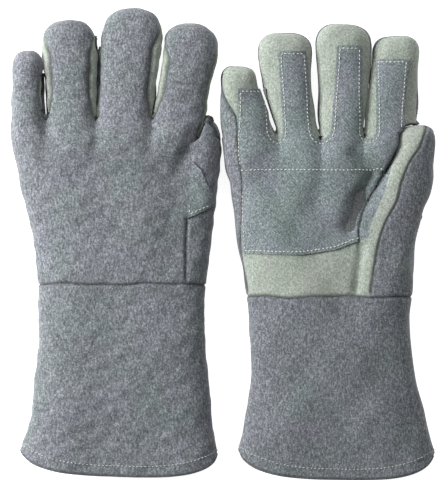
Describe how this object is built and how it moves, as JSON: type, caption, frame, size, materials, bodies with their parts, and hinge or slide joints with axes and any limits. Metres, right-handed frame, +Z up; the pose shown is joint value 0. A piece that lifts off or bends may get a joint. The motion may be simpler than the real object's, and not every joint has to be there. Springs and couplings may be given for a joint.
{
  "type": "welding gloves",
  "caption": "Pair of heat-resistant felt welding gloves with long flared cuffs, one palm down and one palm up, reinforced palm and fingers.",
  "frame": {"origin": "middle of the pair's footprint, on the surface that the gloves lie on", "axes": "+Z up, +Y from the cuffs to the fingertips, +X from the left-hand glove to the right-hand glove"},
  "size_m": [0.3085, 0.342, 0.034],
  "materials": {
    "felt": "heathered dark grey felt",
    "pale_felt": "pale green-grey flat woven cloth",
    "patch": "dark woven reinforcement cloth",
    "lining": "plain dark cotton lining",
    "binding": "turned dark cloth edge",
    "thread": "off-white heat-resistant sewing thread"
  },
  "bodies": {
    "left_cuff": {"left_cuff_back": "felt", "left_cuff_palm": "felt", "left_cuff_lining": "lining", "left_hem_binding": "binding", "left_hem_stitching": "thread"},
    "left_hand": {"left_back_panel": "felt", "left_palm_panel": "pale_felt", "left_palm_patch": "patch", "left_palm_stitching": "thread", "left_hand_lining": "lining", "left_thumb_base": "felt"},
    "left_little": {"left_little_back": "felt", "left_little_front": "pale_felt", "left_little_patch": "patch", "left_little_lining": "lining"},
    "left_ring": {"left_ring_back": "felt", "left_ring_front": "pale_felt", "left_ring_patch": "patch", "left_ring_lining": "lining"},
    "left_middle": {"left_middle_back": "felt", "left_middle_front": "pale_felt", "left_middle_patch": "patch", "left_middle_lining": "lining"},
    "left_index": {"left_index_back": "felt", "left_index_front": "pale_felt", "left_index_patch": "patch", "left_index_lining": "lining"},
    "left_thumb": {"left_thumb_back": "felt", "left_thumb_front": "pale_felt", "left_thumb_lining": "lining"},
    "right_cuff": {"right_cuff_back": "felt", "right_cuff_palm": "felt", "right_cuff_lining": "lining", "right_hem_binding": "binding", "right_hem_stitching": "thread"},
    "right_hand": {"right_back_panel": "felt", "right_palm_panel": "pale_felt", "right_palm_patch": "patch", "right_palm_stitching": "thread", "right_hand_lining": "lining", "right_thumb_base": "felt"},
    "right_little": {"right_little_back": "felt", "right_little_front": "pale_felt", "right_little_patch": "patch", "right_little_lining": "lining"},
    "right_ring": {"right_ring_back": "felt", "right_ring_front": "pale_felt", "right_ring_patch": "patch", "right_ring_lining": "lining"},
    "right_middle": {"right_middle_back": "felt", "right_middle_front": "pale_felt", "right_middle_patch": "patch", "right_middle_lining": "lining"},
    "right_index": {"right_index_back": "felt", "right_index_front": "pale_felt", "right_index_patch": "patch", "right_index_lining": "lining"},
    "right_thumb": {"right_thumb_back": "felt", "right_thumb_front": "pale_felt", "right_thumb_lining": "lining"}
  },
  "joints": [
    {"name": "left_wrist_bend", "type": "hinge", "parent": "left_cuff", "child": "left_hand", "pos_m": [-0.075, -0.03, 0.017], "axis": [-1, 0, 0], "range_deg": [-20, 45], "stiffness_Nm_per_rad": 0.6},
    {"name": "left_little_curl", "type": "hinge", "parent": "left_hand", "child": "left_little", "pos_m": [-0.1429, 0.1, 0.014], "axis": [-1, 0, 0], "range_deg": [0, 60], "stiffness_Nm_per_rad": 0.12},
    {"name": "left_ring_curl", "type": "hinge", "parent": "left_hand", "child": "left_ring", "pos_m": [-0.1115, 0.1, 0.014], "axis": [-1, 0, 0], "range_deg": [0, 60], "stiffness_Nm_per_rad": 0.12},
    {"name": "left_middle_curl", "type": "hinge", "parent": "left_hand", "child": "left_middle", "pos_m": [-0.07275, 0.1, 0.014], "axis": [-1, 0, 0], "range_deg": [0, 60], "stiffness_Nm_per_rad": 0.12},
    {"name": "left_index_curl", "type": "hinge", "parent": "left_hand", "child": "left_index", "pos_m": [-0.0305, 0.1, 0.014], "axis": [-1, 0, 0], "range_deg": [0, 60], "stiffness_Nm_per_rad": 0.12},
    {"name": "left_thumb_bend", "type": "hinge", "parent": "left_hand", "child": "left_thumb", "pos_m": [-0.017, 0.068, 0.014], "axis": [-1, 0, 0], "range_deg": [0, 45], "stiffness_Nm_per_rad": 0.15},
    {"name": "right_wrist_bend", "type": "hinge", "parent": "right_cuff", "child": "right_hand", "pos_m": [0.076, -0.039, 0.017], "axis": [1, 0, 0], "range_deg": [-20, 45], "stiffness_Nm_per_rad": 0.6},
    {"name": "right_little_curl", "type": "hinge", "parent": "right_hand", "child": "right_little", "pos_m": [0.01525, 0.088, 0.014], "axis": [1, 0, 0], "range_deg": [0, 60], "stiffness_Nm_per_rad": 0.12},
    {"name": "right_ring_curl", "type": "hinge", "parent": "right_hand", "child": "right_ring", "pos_m": [0.04925, 0.088, 0.014], "axis": [1, 0, 0], "range_deg": [0, 60], "stiffness_Nm_per_rad": 0.12},
    {"name": "right_middle_curl", "type": "hinge", "parent": "right_hand", "child": "right_middle", "pos_m": [0.08425, 0.088, 0.014], "axis": [1, 0, 0], "range_deg": [0, 60], "stiffness_Nm_per_rad": 0.12},
    {"name": "right_index_curl", "type": "hinge", "parent": "right_hand", "child": "right_index", "pos_m": [0.12075, 0.088, 0.014], "axis": [1, 0, 0], "range_deg": [0, 60], "stiffness_Nm_per_rad": 0.12},
    {"name": "right_thumb_bend", "type": "hinge", "parent": "right_hand", "child": "right_thumb", "pos_m": [0.14285, 0.06, 0.02], "axis": [1, 0, 0], "range_deg": [0, 45], "stiffness_Nm_per_rad": 0.15},
    {"name": "right_glove_lift", "type": "slide", "parent": "left_cuff", "child": "right_cuff", "axis": [0, 0, 1], "range_m": [0, 0.2]}
  ]
}
